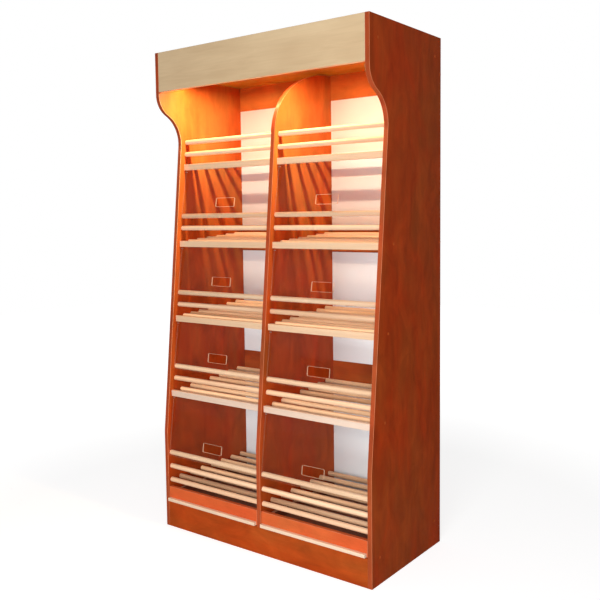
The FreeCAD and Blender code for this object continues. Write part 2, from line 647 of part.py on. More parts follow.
# ---- lamp ----------------------------------------------------------------------------------------
def lamp():
    """A long lamp clipped under the ceiling board, hidden by the canopy's front."""
    x = (-LAMP_HALF, LAMP_HALF)
    top = CEILING_Z - LAMP_CLIP_T
    foot = top - LAMP_BASE_H
    y = (LAMP_Y - LAMP_BASE_W / 2, LAMP_Y + LAMP_BASE_W / 2)
    inner_y = (y[0] + LAMP_WALL, y[1] - LAMP_WALL)
    tray = block(x, y, (foot, top)).cut(block(x, inner_y, (foot, top - LAMP_WALL)))
    board_z = top - LAMP_WALL
    led = block((-LAMP_HALF + LAMP_END_T, LAMP_HALF - LAMP_END_T),
                (LAMP_Y - LED_BOARD_W / 2, LAMP_Y + LED_BOARD_W / 2), (board_z - LED_BOARD_T, board_z))
    outer = bar_x(x, LAMP_Y, foot, DIFFUSER_R)
    inner = bar_x(x, LAMP_Y, foot, DIFFUSER_R - DIFFUSER_WALL)
    below = block(x, (0, DEPTH), (foot - DIFFUSER_R, foot))
    cover = outer.cut(inner).common(below)
    flange = block(x, inner_y, (foot, foot + DIFFUSER_WALL))
    flange = flange.cut(block(x, (LAMP_Y - DIFFUSER_R + DIFFUSER_WALL, LAMP_Y + DIFFUSER_R - DIFFUSER_WALL),
                              (foot, foot + DIFFUSER_WALL)))
    cover = cover.fuse(flange).removeSplitter()
    ends = []
    for side in (-1, 1):
        end_x = (side * LAMP_HALF, side * (LAMP_HALF + LAMP_END_T))
        disc = bar_x(end_x, LAMP_Y, foot, DIFFUSER_R).common(
            block(end_x, (0, DEPTH), (foot - DIFFUSER_R, foot)))
        ends.append(disc.fuse(block(end_x, y, (foot, top))).removeSplitter())
    clips = []
    for side in (-1, 1):
        middle = side * (LAMP_HALF - LAMP_CLIP_INSET)
        clip_x = (middle - LAMP_CLIP_W / 2, middle + LAMP_CLIP_W / 2)
        wrap = block(clip_x, (y[0] - LAMP_CLIP_T, y[1] + LAMP_CLIP_T), (foot, CEILING_Z))
        clips.append(wrap.cut(block(clip_x, y, (foot, top))))
    save("lamp_base", tray)
    save("lamp_led_board", led)
    save("lamp_diffuser", cover)
    save("lamp_end_caps", *ends)
    save("lamp_clips", *clips)


def grommet():
    """Lining of the hole that the lamp's lead takes through the ceiling board."""
    sleeve = Part.makeCylinder(GROMMET_D / 2, BOARD, Vector(*GROMMET_PLACE, CEILING_Z))
    flange = Part.makeCylinder(GROMMET_D / 2 + GROMMET_FLANGE_W, GROMMET_FLANGE_T,
                               Vector(*GROMMET_PLACE, CEILING_TOP))
    bore = Part.makeCylinder(GROMMET_BORE_D / 2, BOARD + GROMMET_FLANGE_T,
                             Vector(*GROMMET_PLACE, CEILING_Z))
    save("cable_grommet", sleeve.fuse(flange).removeSplitter().cut(bore))


# ---- fasteners -----------------------------------------------------------------------------------
def fasteners():
    caps = []
    for side in (-1, 1):
        for y, z in panel_screw_places():
            caps.append(bar_x((side * HALF, side * (HALF + CAP_T)), y, z, CAP_D / 2))
    save("panel_screws", *SCREWS)
    save("screw_caps", *caps)


os.makedirs("parts", exist_ok=True)
uprights()
back()
cross_boards()
shelves()
flaps()
drawers()
lamp()
grommet()
fasteners()
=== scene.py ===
"""Looks of the bakery bread rack: the finish of every part, clear flaps and front boards with softened
arrises, the light of the canopy lamp, studio light and camera. Metres, in the model's own frame: the
origin is at the middle of the base, X runs along the width, Y from front to rear and Z up.
"""
import json
import math
import bmesh
import bpy
from mathutils import Matrix, Vector


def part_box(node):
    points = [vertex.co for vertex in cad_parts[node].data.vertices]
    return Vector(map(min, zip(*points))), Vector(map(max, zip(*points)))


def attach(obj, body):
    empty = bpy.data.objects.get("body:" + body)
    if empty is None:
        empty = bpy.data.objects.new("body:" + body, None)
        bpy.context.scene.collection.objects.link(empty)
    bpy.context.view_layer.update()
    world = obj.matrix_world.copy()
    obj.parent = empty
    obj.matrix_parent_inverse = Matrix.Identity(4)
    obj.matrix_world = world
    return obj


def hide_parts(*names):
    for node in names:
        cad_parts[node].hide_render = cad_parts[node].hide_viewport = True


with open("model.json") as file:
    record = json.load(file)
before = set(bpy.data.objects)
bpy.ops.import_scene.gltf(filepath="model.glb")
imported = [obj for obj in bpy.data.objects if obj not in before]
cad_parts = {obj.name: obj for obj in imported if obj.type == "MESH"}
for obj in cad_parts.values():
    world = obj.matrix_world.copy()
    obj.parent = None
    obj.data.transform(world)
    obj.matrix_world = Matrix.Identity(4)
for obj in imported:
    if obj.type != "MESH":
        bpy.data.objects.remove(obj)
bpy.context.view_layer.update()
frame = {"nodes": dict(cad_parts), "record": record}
NODES = frame["nodes"]
RECORD = frame["record"]
SLOT_OF = {part["node"]: part["material_slot"] for part in RECORD["subparts"]}
BODY_OF = {node: body for body, nodes in RECORD["behaviour"]["bodies"].items() for node in nodes}

# ---- camera --------------------------------------------------------------------------------------
CAMERA_PLACE = (1.9450, -2.5426, 1.3129)
CAMERA_YAW = 0.6466                 # radians, to the left of straight on
CAMERA_PITCH = -0.0787
CAMERA_ROLL = -0.0122
FRAME_PX = 600                      # side of the square picture
FOCAL_PX = 786.4
HORIZON_PX = 280.5                  # the lens's axis, from the top of the picture
SENSOR_MM = 36.0

# ---- studio light --------------------------------------------------------------------------------
WHITE = (1.0, 1.0, 1.0)
BACKDROP = 1.0                      # brightness of the white backdrop
AMBIENT = 0.22                      # light that the surroundings give
FLOOR_HALF = 8.0
FLOOR_RINGS = (1.4, 3.0)            # the floor turns into the backdrop between these distances
FLOOR_LIFT = 0.77                   # brightness of the floor before any light falls on it
FLOOR_GREY = (0.5, 0.5, 0.5)

KEY_PLACE = (1.7, -3.0, 1.25)       # in front and to the right, on all but the white back
KEY_AIM = (0.0, 0.0, 0.95)
KEY_SIZE = (1.8, 1.8)
KEY_WATTS = 96.0
LOW_PLACE = (-0.10, -1.40, 0.02)    # what a white floor throws back up, on all but the white back
LOW_AIM = (-0.10, -0.20, 0.60)
LOW_SIZE = (1.60, 1.00)
LOW_WATTS = 5.0
FILL_PLACE = (0.15, -1.20, 0.66)    # in front, on the white back alone
FILL_AIM = (0.15, 0.26, 0.66)
FILL_SIZE = (1.30, 0.62)
FILL_WATTS = 25.0
FILL_COLOUR = (0.91, 0.98, 1.00)
HIGH_PLACE = (0.15, -1.20, 1.42)    # a narrower one from higher up, on the middle of the white back
HIGH_AIM = (0.15, 0.26, 0.92)
HIGH_SIZE = (1.00, 0.20)
HIGH_WATTS = 0.65
HIGH_COLOUR = (1.0, 0.96, 0.92)
HIGH_SPREAD = math.radians(35)
ABOVE_PLACE = (-0.20, -2.40, 2.60)  # from high up in front, on rods alone
ABOVE_AIM = (0.0, 0.1, 0.9)
ABOVE_SIZE = (0.7, 0.7)
ABOVE_COLOUR = (1.0, 0.80, 0.60)
SHELF_WATTS = 54.0                  # on the rods of the shelves
FENCE_WATTS = 30.0                  # and on those of the two lowest fences
REAR_PLACE = (-1.9, 2.6, 1.7)       # from behind and the left, on all but the floor
REAR_AIM = (0.0, 0.0, 1.0)
REAR_SIZE = (1.8, 1.8)
REAR_WATTS = 70.0

# ---- light of the canopy lamp --------------------------------------------------------------------
GLOW_WIDTH = 0.022                  # the bright core of the lamp
GLOW_DROP = 0.0006                  # below the diffuser
GLOW_WATTS = 8.6                    # on all but the white back
GLOW_COLOUR = (1.0, 0.64, 0.28)
SHEET_GLOW_WATTS = 11.0             # on the white back alone
SHEET_GLOW_COLOUR = (1.0, 0.78, 0.52)
BOARD_GLOW_WATTS = 15.5             # in each column, on the boards alone, whose print glows in the canopy
BOARD_GLOW_COLOUR = (0.40, 0.86, 0.84)
BOARD_GLOW_INSET = 0.17             # its ends, from the boards beside them
BOUNCE_HEIGHT = 1.46                # light thrown back up under the canopy, on the ceiling board
BOUNCE_SIZE = (0.90, 0.24)
BOUNCE_WATTS = 15.0
BOUNCE_COLOUR = (0.30, 1.0, 0.25)
OPAL_GLOW = 1.5                     # the diffuser's own brightness along its middle
OPAL_SIDES = 0.55                   # how much of that is left at its sides
OPAL_LIGHT = (1.0, 0.82, 0.58)

# ---- colours, linear -----------------------------------------------------------------------------
CHERRY_RED = (0.44, 0.044, 0.005)
CHERRY_BROWN = (0.38, 0.062, 0.009)
DRAWER_RED = (0.72, 0.105, 0.030)
DRAWER_BROWN = (0.66, 0.140, 0.038)
# painted highlight on the drawer fronts' softened arrises
DRAWER_ARRIS_HIGHLIGHT = (0.80, 0.24, 0.11)
WARM_RED = (0.45, 0.060, 0.008)
WARM_BROWN = (0.42, 0.081, 0.013)
BAND_RED = (0.42, 0.060, 0.018)
BAND_BROWN = (0.38, 0.076, 0.022)
BAND_ARRIS_HIGHLIGHT = (0.78, 0.27, 0.12)     # painted highlight on the band's rounded arrises
CHIP_DARK = (0.30, 0.17, 0.085)
CHIP_LIGHT = (0.62, 0.44, 0.26)
BEECH_DARK = (0.71, 0.43, 0.26)
BEECH_LIGHT = (0.95, 0.68, 0.46)
BAR_DARK = (0.78, 0.56, 0.42)
BAR_LIGHT = (0.86, 0.67, 0.54)
# painted warm light: a golden copy of the bars' beech for the upper bars
GOLD_DARK = (0.76, 0.49, 0.30)
GOLD_LIGHT = (0.87, 0.61, 0.39)
# painted light: a paler copy of the bars' beech, for the pulls that catch more light from above
PULL_DARK = (0.88, 0.65, 0.46)
PULL_LIGHT = (0.96, 0.76, 0.57)
SHELF_DARK = (0.50, 0.29, 0.16)
SHELF_LIGHT = (0.94, 0.65, 0.41)
BIRCH_DARK = (0.61, 0.42, 0.235)
BIRCH_LIGHT = (0.79, 0.595, 0.36)
BIRCH_ARRIS = (0.70, 0.50, 0.32)
WALL_DARK = (0.16, 0.035, 0.012)
WALL_LIGHT = (0.24, 0.055, 0.020)
PLY_DARK = (0.44, 0.22, 0.12)
PLY_LIGHT = (0.62, 0.36, 0.22)
LACQUER_WHITE = (0.88, 0.86, 0.86)
LACQUER_GREY = (0.83, 0.82, 0.83)
HARDBOARD_DARK = (0.15, 0.050, 0.022)
HARDBOARD_LIGHT = (0.27, 0.110, 0.052)
STEEL = (0.58, 0.58, 0.60)
ALUMINIUM = (0.80, 0.80, 0.81)
SOLDER_MASK = (0.82, 0.84, 0.82)
PHOSPHOR = (0.85, 0.62, 0.10)
OPAL = (0.92, 0.88, 0.80)
CAP_WHITE = (0.80, 0.79, 0.76)
RUBBER = (0.025, 0.025, 0.026)
CAP_BROWN = (0.52, 0.085, 0.014)
ACRYLIC_CLEAR = (0.970, 0.978, 0.980)
# painted highlight: the warm pale light that the clear acrylic's cut edges gather
ACRYLIC_EDGE_HIGHLIGHT = (1.0, 0.68, 0.46)

# ---- what part of a noise's values a ramp spans --------------------------------------------------
WIDE = (0.30, 0.70)                 # nearly all of them, for a soft change
BROAD = (0.32, 0.68)
FIRM = (0.35, 0.65)
CRISP = (0.38, 0.62)                # the middle ones, for a clear one
PORES = (0.62, 0.72)                # the highest ones alone, for spots
FLECKS = (0.64, 0.74)

# ---- depth of the relief, metres -----------------------------------------------------------------
FINEST = 0.00003
FINE = 0.00004
SLIGHT = 0.00005
MEDIUM = 0.00006
COARSE = 0.0001

# ---- roughness -----------------------------------------------------------------------------------
SATIN = (0.30, 0.42)                # laminate
RAW_CHIPS = 0.85
LACQUERED = 0.38                    # front of the back sheets
RAW_FIBRES = 0.78                   # and their rear
POLISHED = 0.04                     # acrylic

# ---- how strong a pattern is ---------------------------------------------------------------------
MOTTLE_DARKER = 0.20                # figure of the cherry print, below and above the mean tone
MOTTLE_PALER = 0.17
STREAK_TONE = 0.07                  # its streaks, both ways
CLOUD_SHARE = 0.70                  # of the veneer's tone that its clouds make, and its figure the rest

# ---- which faces a finish is on ------------------------------------------------------------------
TURNED = 0.7                        # a face looks along an axis from this cosine on
TOP_EDGES = (0.6, 0.9)              # upward share of the normal where the drawer walls show pale bare plies, which also paint a highlight along their top edges
ARRIS_BEGINS = (0.30, 0.50)         # sideways share of the normal where the band's arris, painted as a highlight, begins
ARRIS_ENDS = (0.90, 0.99)           # and where it ends at the band's side

# ---- acrylic -------------------------------------------------------------------------------------
ACRYLIC_IOR = 1.40
RIM_SHOWS = 0.65                    # how opaque the rim of a hand hole is
EDGE_SHOWS = 0.12                   # and a flap's outer edges

# ---- sizes of the softened pieces ----------------------------------------------------------------
FLAP_ARRIS = 0.0006                 # softened arrises of the acrylic
BOARD_ARRIS = 0.0010                # and of the boards in front
ARRIS_STEPS = 2
ROUND = 0.5                         # profile of a softened arris
SHARP = math.radians(40)            # edges that turn more than this are softened
FLAT = math.radians(0.3)            # faces that turn less than this become one
WELD = 0.000001                     # points closer than this become one
FACE_ON = 0.99                      # a face is one of the flap's two large ones from this cosine on
RIM_INSET = 0.02                    # the hand hole lies further than this from the sides and the foot
RIM_REACH = 0.12                    # and within this height above that


# ---- node trees ----------------------------------------------------------------------------------
class Graph:
    """The node tree of one material, with one short call for each kind of node used here."""

    def __init__(self, name):
        self.material = bpy.data.materials.new(name)
        self.material.use_nodes = True
        self.tree = self.material.node_tree
        self.shader = self.tree.nodes["Principled BSDF"]
        texture = self.tree.nodes.new("ShaderNodeTexCoord")
        self.place = texture.outputs["Object"]
        self.facing = texture.outputs["Normal"]

    def fill(self, socket, value):
        """Link a socket to an input, or set the input's own value."""
        if isinstance(value, bpy.types.NodeSocket):
            self.tree.links.new(value, socket)
        elif socket.type == "RGBA" and len(value) == 3:
            socket.default_value = (*value, 1.0)
        else:
            socket.default_value = value

    def node(self, kind, inputs, output=0, **settings):
        """Add a node of a kind, fill its inputs by name or number, and return one of its outputs."""
        made = self.tree.nodes.new("ShaderNode" + kind)
        for name, value in settings.items():
            setattr(made, name, value)
        for key, value in inputs.items():
            self.fill(made.inputs[key], value)
        return made.outputs[output]

    def surface(self, **inputs):
        """Fill inputs of the Principled shader; an underscore in a name stands for a space."""
        for name, value in inputs.items():
            self.fill(self.shader.inputs[name.replace("_", " ")], value)

    def stretched(self, scale):
        """The place in the part, scaled axis by axis: a small number draws a pattern out along it."""
        return self.node("VectorMath", {0: self.place, 1: scale}, operation="MULTIPLY")

    def noise(self, vector, scale=1.0, detail=2.0, roughness=0.5, distortion=0.0):
        """A cloudy value between 0 and 1."""
        return self.node("TexNoise", {"Vector": vector, "Scale": scale, "Detail": detail,
                                      "Roughness": roughness, "Distortion": distortion})

    def ramp(self, value, low, high, to_low=0.0, to_high=1.0):
        """Map low..high to to_low..to_high, level outside."""
        return self.node("MapRange", {"Value": value, "From Min": low, "From Max": high,
                                      "To Min": to_low, "To Max": to_high})

    def maths(self, operation, a, b=0.0):
        """One operation on one or two numbers."""
        return self.node("Math", {0: a, 1: b}, operation=operation)

    def weighed(self, a, b, share):
        """The sum of a times share and b times the rest."""
        return self.maths("ADD", self.maths("MULTIPLY", a, share), self.maths("MULTIPLY", b, 1 - share))

    def axis(self, vector, letter):
        """One coordinate of a vector."""
        return self.node("SeparateXYZ", {0: vector}, output="XYZ".index(letter))

    def turned_to(self, letter, sign):
        """1 on the faces that look along an axis (sign 1) or against it (sign -1), 0 elsewhere."""
        test = "GREATER_THAN" if sign > 0 else "LESS_THAN"
        return self.maths(test, self.axis(self.facing, letter), sign * TURNED)

    def mixed(self, factor, a, b):
        """A colour between a and b. The node's inputs 6 and 7 and its output 2 are those for colours."""
        return self.node("Mix", {0: factor, 6: a, 7: b}, output=2, data_type="RGBA")

    def dimmed(self, colour, value):
        """A colour times a number."""
        return self.node("VectorMath", {0: colour, "Scale": value}, operation="SCALE")

    def bump(self, height, distance):
        """A normal from a height, whose whole range is distance metres."""
        return self.node("Bump", {"Height": height, "Distance": distance})


# ---- boards --------------------------------------------------------------------------------------
GRAIN_AXES = {"X": (1, 0, 0), "Z": (0, 0, 1)}


def along_grain(g, axis, share):
    """The place, drawn out along the grain: share is how much of that axis is left."""
    return g.stretched([share if on else 1.0 for on in GRAIN_AXES[axis]])


def chipboard(g):
    """Raw edge of chipboard: pressed chips."""
    chips = g.noise(g.place, scale=420.0, detail=3.0, roughness=0.7)
    return g.mixed(g.ramp(chips, *CRISP), CHIP_DARK, CHIP_LIGHT)


def printed_cherry(g, red, brown, axis, depth=1.0):
    """Cherry print: broad clouds, a mottled figure, faint streaks and lines along the grain, short pores.

    depth says how strong the figure and the streaks are. Returns the colour, and the lines as a height.
    """
    clouds = g.noise(along_grain(g, axis, 0.40), scale=6.0, detail=3.0, roughness=0.55, distortion=0.6)
    clouds = g.ramp(clouds, *FIRM)
    mottle = g.noise(along_grain(g, axis, 0.50), scale=13.0, detail=3.0, roughness=0.60, distortion=0.8)
    streaks = g.noise(along_grain(g, axis, 0.06), scale=26.0, detail=4.0, roughness=0.55, distortion=0.3)
    lines = g.noise(along_grain(g, axis, 0.025), scale=330.0, detail=3.0, roughness=0.6)
    pores = g.noise(along_grain(g, axis, 0.06), scale=900.0)
    pores = g.ramp(pores, *PORES, to_low=1.0, to_high=0.80)
    figure = g.ramp(mottle, *WIDE, to_low=1 - MOTTLE_DARKER * depth, to_high=1 + MOTTLE_PALER * depth)
    streaked = g.ramp(streaks, *WIDE, to_low=1 - STREAK_TONE * depth, to_high=1 + STREAK_TONE * depth)
    lined = g.ramp(lines, *WIDE, to_low=0.96, to_high=1.04)
    tone = g.mixed(clouds, red, brown)
    for pattern in (figure, streaked, lined, pores):
        tone = g.dimmed(tone, pattern)
    return tone, lines


def laminate(slot, red, brown, axis, depth, raw_edges):
    """Laminated chipboard. Where raw_edges is true its rear and lower edges are bare chipboard."""
    g = Graph(slot)
    colour, lines = printed_cherry(g, red, brown, axis, depth)
    satin = g.noise(g.place, scale=30.0, detail=3.0)
    roughness = g.ramp(satin, *WIDE, *SATIN)
    if raw_edges:
        raw = g.maths("MAXIMUM", g.turned_to("Y", 1), g.turned_to("Z", -1))
        colour = g.mixed(raw, colour, chipboard(g))
        roughness = g.maths("MAXIMUM", roughness, g.maths("MULTIPLY", raw, RAW_CHIPS))
    g.surface(Base_Color=colour, Roughness=roughness, Normal=g.bump(lines, FINE), Specular_IOR_Level=0.05)
    return g.material


def edge_band():
    """Plastic edge band with a printed grain along it; its rounded arrises are painted pale as a
    highlight.
    """
    g = Graph("edge_band")
    colour, lines = printed_cherry(g, BAND_RED, BAND_BROWN, "Z")
    sideways = g.maths("ABSOLUTE", g.axis(g.facing, "X"))
    off_front = g.ramp(sideways, *ARRIS_BEGINS)
    off_side = g.ramp(sideways, *ARRIS_ENDS, to_low=1.0, to_high=0.0)
    # painted highlight: pale on the rounded arrises between the band's front and its sides
    arris = g.maths("MULTIPLY", off_front, off_side)
    g.surface(Base_Color=g.mixed(arris, colour, BAND_ARRIS_HIGHLIGHT), Roughness=0.32,
              Normal=g.bump(lines, FINEST), Specular_IOR_Level=0.12)
    return g.material


def arris_material(name, colour):
    """The arris of a board in a colour of its own, with a random tone along it; on the drawer fronts that
    colour is pale, a painted highlight.
    """
    g = Graph(name)
    blotches = g.noise(g.stretched((30.0, 200.0, 200.0)), detail=3.0)
    tone = g.ramp(blotches, *WIDE, to_low=0.80, to_high=1.05)
    g.surface(Base_Color=g.dimmed(colour, tone), Roughness=0.4)
    return g.material


def birch_veneer():
    """Birch veneer of the fascia: pale, with soft clouds, a wavy figure and faint lines along X."""
    g = Graph("light_veneer")
    clouds = g.noise(g.stretched((2.0, 2.0, 6.0)), distortion=0.6)
    figure = g.noise(g.stretched((5.0, 5.0, 38.0)), detail=3.0, roughness=0.55, distortion=1.2)
    lines = g.noise(g.stretched((3.0, 150.0, 150.0)))
    share = g.weighed(g.ramp(clouds, *WIDE), g.ramp(figure, *WIDE), CLOUD_SHARE)
    colour = g.mixed(share, BIRCH_DARK, BIRCH_LIGHT)
    colour = g.dimmed(colour, g.ramp(lines, *WIDE, to_low=0.98, to_high=1.02))
    g.surface(Base_Color=colour, Roughness=0.42, Normal=g.bump(lines, FINEST))
    return g.material


def pressed_fibres(g):
    """Raw hardboard: its colour, and the fibres as a height."""
    fibres = g.noise(g.place, scale=700.0, detail=4.0, roughness=0.7)
    return g.mixed(g.ramp(fibres, *FIRM), HARDBOARD_DARK, HARDBOARD_LIGHT), fibres


def white_sheet():
    """Hardboard back, lacquered white in front with a faint orange peel, raw and brown behind."""
    g = Graph("white_sheet")
    peel = g.noise(g.place, scale=260.0, detail=3.0)
    clouds = g.ramp(g.noise(g.place, scale=5.0), *WIDE)
    white = g.mixed(clouds, LACQUER_GREY, LACQUER_WHITE)
    brown = pressed_fibres(g)[0]
    rear = g.turned_to("Y", 1)
    g.surface(Base_Color=g.mixed(rear, white, brown), Normal=g.bump(peel, MEDIUM),
              Roughness=g.ramp(rear, 0.0, 1.0, to_low=LACQUERED, to_high=RAW_FIBRES))
    return g.material


def brown_hardboard():
    """Bottom sheet of a drawer: pressed brown fibres."""
    g = Graph("hardboard")
    colour, fibres = pressed_fibres(g)
    g.surface(Base_Color=colour, Roughness=0.7, Normal=g.bump(fibres, COARSE))
    return g.material


def dark_plywood():
    """Walls and back of the drawer boxes: dark brown, with pale bare plies on their upward faces, which
    also paint a highlight along the top edges.
    """
    g = Graph("drawer_wood")
    fibres = g.noise(g.stretched((18.0, 18.0, 240.0)), detail=3.0, roughness=0.6)
    dark_wood = g.mixed(g.ramp(fibres, *FIRM), WALL_DARK, WALL_LIGHT)
    plies = g.ramp(g.noise(g.stretched((700.0, 60.0, 60.0))), *FIRM)
    # painted highlight: the upward faces show pale bare plies
    top = g.ramp(g.axis(g.facing, "Z"), *TOP_EDGES)
    colour = g.mixed(top, dark_wood, g.mixed(plies, PLY_DARK, PLY_LIGHT))
    g.surface(Base_Color=colour, Roughness=0.6, Normal=g.bump(fibres, SLIGHT))
    return g.material


# ---- rods and bars -------------------------------------------------------------------------------
def solid_wood(slot, dark, light, flecks, gloss, pitch=0.09, variety=0.45):
    """Lacquered solid wood with its grain along X: growth lines, tone from rod to rod and flecks.

    Pieces pitch metres apart differ in tone, and variety is the share of the tone that does. flecks is
    how dark the flecks are, and gloss the middle of the roughness.
    """
    g = Graph(slot)
    piece = g.noise(g.stretched((0.9, 1 / pitch, 1 / pitch)), detail=1.0)
    growth = g.noise(g.stretched((1.2, 90.0, 90.0)), detail=3.0, roughness=0.6, distortion=0.5)
    lines = g.noise(g.stretched((14.0, 620.0, 620.0)), roughness=0.6)
    fleck = g.noise(g.stretched((90.0, 1300.0, 1300.0)), detail=1.0)
    share = g.weighed(g.ramp(piece, *FIRM), g.ramp(growth, *BROAD), variety)
    colour = g.mixed(share, dark, light)
    colour = g.dimmed(colour, g.ramp(lines, *WIDE, to_low=0.94, to_high=1.05))
    colour = g.dimmed(colour, g.ramp(fleck, *FLECKS, to_low=1.0, to_high=flecks))
    roughness = g.ramp(lines, *WIDE, to_low=gloss - 0.05, to_high=gloss + 0.07)
    g.surface(Base_Color=colour, Roughness=roughness, Normal=g.bump(lines, SLIGHT))
    return g.material


# ---- metal and plastic ---------------------------------------------------------------------------
def metal(slot, colour, stretch, roughness):
    """Metal drawn or brushed along one axis."""
    g = Graph(slot)
    drawn = g.noise(g.stretched(stretch), detail=3.0, roughness=0.6)
    spots = g.ramp(g.noise(g.place, scale=90.0, detail=3.0), *WIDE, to_low=0.88, to_high=1.0)
    g.surface(Base_Color=g.dimmed(colour, spots), Metallic=1.0,
              Roughness=g.ramp(drawn, *WIDE, to_low=roughness - 0.08, to_high=roughness + 0.10),
              Normal=g.bump(drawn, FINEST))
    return g.material


def moulded(slot, colour, roughness, grain, gloss=0.5):
    """Moulded plastic or rubber with a fine grain left by the mould."""
    g = Graph(slot)
    pits = g.noise(g.place, scale=1500.0)
    tone = g.ramp(g.noise(g.place, scale=60.0), *WIDE, to_low=0.90, to_high=1.06)
    g.surface(Base_Color=g.dimmed(colour, tone), Normal=g.bump(pits, grain),
              Roughness=g.ramp(pits, *WIDE, to_low=roughness - 0.05, to_high=roughness + 0.05),
              Specular_IOR_Level=gloss)
    return g.material


# ---- lamp ----------------------------------------------------------------------------------------
LED_PITCH = 1 / 60                  # sixty LEDs to a metre
LED_HALF = (0.0025, 0.0018)         # half of one, along and across the board


def led_board():
    """White circuit board with a row of yellow LEDs."""
    g = Graph("led_board")
    middle = sum(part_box("lamp_led_board"), Vector()) / 2
    along = g.maths("PINGPONG", g.axis(g.place, "X"), LED_PITCH / 2)
    across = g.maths("ABSOLUTE", g.maths("SUBTRACT", g.axis(g.place, "Y"), middle.y))
    led = g.maths("MULTIPLY", g.maths("LESS_THAN", along, LED_HALF[0]),
                  g.maths("LESS_THAN", across, LED_HALF[1]))
    mask = g.ramp(g.noise(g.place, scale=200.0), *WIDE, to_low=0.94, to_high=1.0)
    g.surface(Base_Color=g.mixed(led, g.dimmed(SOLDER_MASK, mask), PHOSPHOR), Roughness=0.35)
    return g.material


def opal_diffuser():
    """Opal plastic, lit from inside, brighter along its middle."""
    g = Graph("opal_diffuser")
    low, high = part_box("lamp_diffuser")
    off = g.maths("ABSOLUTE", g.maths("SUBTRACT", g.axis(g.place, "Y"), (low.y + high.y) / 2))
    core = g.ramp(off, 0.0, (high.y - low.y) / 2, to_low=1.0, to_high=OPAL_SIDES)
    g.surface(Base_Color=OPAL, Roughness=0.5, Emission_Strength=OPAL_GLOW,
              Emission_Color=g.dimmed(OPAL_LIGHT, core))
    return g.material


# ---- acrylic -------------------------------------------------------------------------------------
def clear_pane():
    """Clear acrylic seen face on: see-through, with the sheen of its polished faces."""
    g = Graph("clear_acrylic")
    g.tree.nodes.remove(g.shader)
    clear = g.node("BsdfTransparent", {"Color": ACRYLIC_CLEAR})
    sheen = g.node("BsdfGlossy", {"Color": WHITE, "Roughness": POLISHED})
    share = g.node("Fresnel", {"IOR": ACRYLIC_IOR})
    outside = g.maths("SUBTRACT", 1.0, g.node("NewGeometry", {}, output="Backfacing"))
    wiped = g.noise(g.stretched((5.0, 9.0, 9.0)), detail=3.0)
    wiped = g.ramp(wiped, *WIDE, to_low=0.85, to_high=1.0)
    share = g.maths("MULTIPLY", g.maths("MULTIPLY", share, outside), wiped)
    mix = g.node("MixShader", {0: share, 1: clear, 2: sheen})
    g.fill(g.tree.nodes["Material Output"].inputs["Surface"], mix)
    return g.material


def cut_edge(name, share):
    """Cut edge of acrylic, coloured pale and warm: a painted highlight of the light it gathers. share is
    how much of it is opaque.
    """
    g = Graph(name)
    marks = g.noise(g.place, scale=500.0, detail=3.0)
    g.surface(Base_Color=ACRYLIC_EDGE_HIGHLIGHT, Roughness=g.ramp(marks, *WIDE, to_low=0.5, to_high=0.7),
              Alpha=share, Specular_IOR_Level=0.05)
    return g.material


# ---- pieces that stand for a CAD part ------------------------------------------------------------
def softened(name, arris):
    """A bmesh copy of a part with softened arrises. Its new faces are number 1, the others 0."""
    mesh = bmesh.new()
    mesh.from_mesh(NODES[name].data)
    bmesh.ops.remove_doubles(mesh, verts=mesh.verts, dist=WELD)
    bmesh.ops.dissolve_limit(mesh, angle_limit=FLAT, verts=mesh.verts, edges=mesh.edges)
    for face in mesh.faces:
        face.material_index = 0
    sharp = [edge for edge in mesh.edges if edge.is_manifold and edge.calc_face_angle() > SHARP]
    made = bmesh.ops.bevel(mesh, geom=sharp, offset=arris, segments=ARRIS_STEPS, profile=ROUND,
                           affect="EDGES")
    for face in made["faces"]:
        face.material_index = 1
    return mesh


def stand_in(name, suffix, mesh, finishes):
    """Make a piece from a bmesh, which stands for the CAD part of that name and moves with its body."""
    data = bpy.data.meshes.new(name + suffix)
    mesh.to_mesh(data)
    mesh.free()
    for finish in finishes:
        data.materials.append(finish)
    piece = bpy.data.objects.new(name + suffix, data)
    bpy.context.scene.collection.objects.link(piece)
    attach(piece, BODY_OF[name])
    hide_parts(name)
    return piece


def flap(name):
    """A flap with softened arrises; the rim of its hand hole shows more than its outer edges."""
    mesh = softened(name, FLAP_ARRIS)
    across = max(mesh.faces, key=lambda face: face.calc_area()).normal.copy()
    sides = [vertex.co.x for vertex in mesh.verts]
    rim = (min(sides) + RIM_INSET, max(sides) - RIM_INSET)
    foot = min(vertex.co.z for vertex in mesh.verts) + RIM_INSET
    for face in mesh.faces:
        middle = face.calc_center_median()
        if abs(face.normal.dot(across)) > FACE_ON:
            face.material_index = 0
        elif rim[0] < middle.x < rim[1] and foot < middle.z < foot + RIM_REACH:
            face.material_index = 1
        else:
            face.material_index = 2
    return stand_in(name, "_clear", mesh, FLAP_FINISHES)


def front_board(name):
    """A board of the front with softened arrises in a colour of their own, a painted highlight on the
    drawer fronts.
    """
    finish = SLOT_OF[name]
    return stand_in(name, "_board", softened(name, BOARD_ARRIS), (MATERIALS[finish], ARRIS_MATERIALS[finish]))


